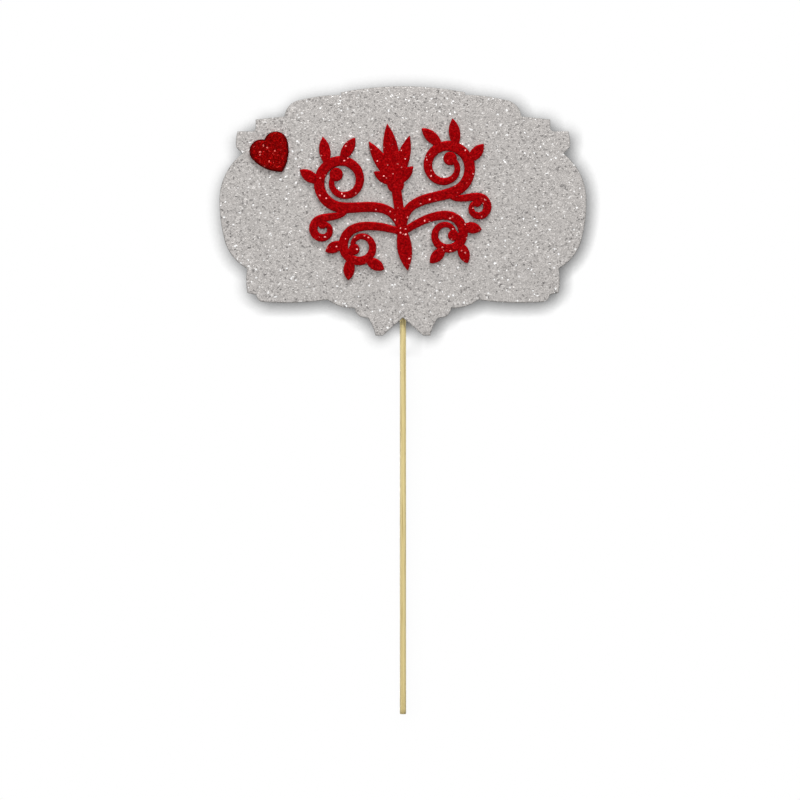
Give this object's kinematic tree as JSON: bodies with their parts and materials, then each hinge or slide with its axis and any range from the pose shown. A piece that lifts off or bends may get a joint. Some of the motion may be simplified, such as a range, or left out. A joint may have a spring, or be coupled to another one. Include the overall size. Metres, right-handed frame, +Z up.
{
  "type": "photo booth prop sign",
  "caption": "Flat ornate plaque of glitter foam on a thin round stick, with a red scroll flourish and a small heart glued to its front. It is held up by hand as a photo prop.",
  "frame": {"origin": "centre of the skewer's blunt lower end", "axes": "+Z up along the skewer, the glitter front faces -Y, +X to the right seen from the front"},
  "size_m": [0.1728, 0.0086, 0.296],
  "materials": {
    "white_foam": "matte",
    "silver_glitter": "satin",
    "red_foam": "matte",
    "red_glitter": "satin",
    "adhesive": "satin",
    "bamboo": "matte",
    "hot_melt": "gloss"
  },
  "bodies": {
    "root": {"plaque_foam": "white_foam", "plaque_glitter": "silver_glitter", "scroll_adhesive": "adhesive", "scroll_foam": "red_foam", "scroll_glitter": "red_glitter", "heart_adhesive": "adhesive", "heart_foam": "red_foam", "heart_glitter": "red_glitter", "skewer": "bamboo", "stick_glue": "hot_melt"}
  },
  "joints": []
}
